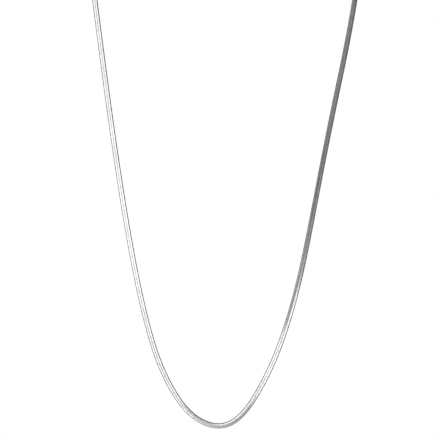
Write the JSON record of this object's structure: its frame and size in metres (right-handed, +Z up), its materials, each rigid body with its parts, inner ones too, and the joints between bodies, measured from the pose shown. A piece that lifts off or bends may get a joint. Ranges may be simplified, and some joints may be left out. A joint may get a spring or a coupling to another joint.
{
  "type": "herringbone neck chain",
  "caption": "Flat herringbone neck chain in silver: a narrow woven band of slanted links that hangs in a long rounded V and closes at the nape with a lobster clasp.",
  "frame": {"origin": "middle of the neck, at the height where the chain rests on it: the centre of the half round at the back", "axes": "+Z up, -Y the way the wearer faces, +X the wearer's left"},
  "size_m": [0.105, 0.0934, 0.1816],
  "materials": {
    "woven_silver": "polished, flattened wire links",
    "polished_silver": "polished"
  },
  "bodies": {
    "root": {"chain": "woven_silver", "end_cap_left": "polished_silver", "end_cap_right": "polished_silver", "jump_ring_left": "polished_silver", "jump_ring_right": "polished_silver", "clasp": "polished_silver"}
  },
  "joints": []
}
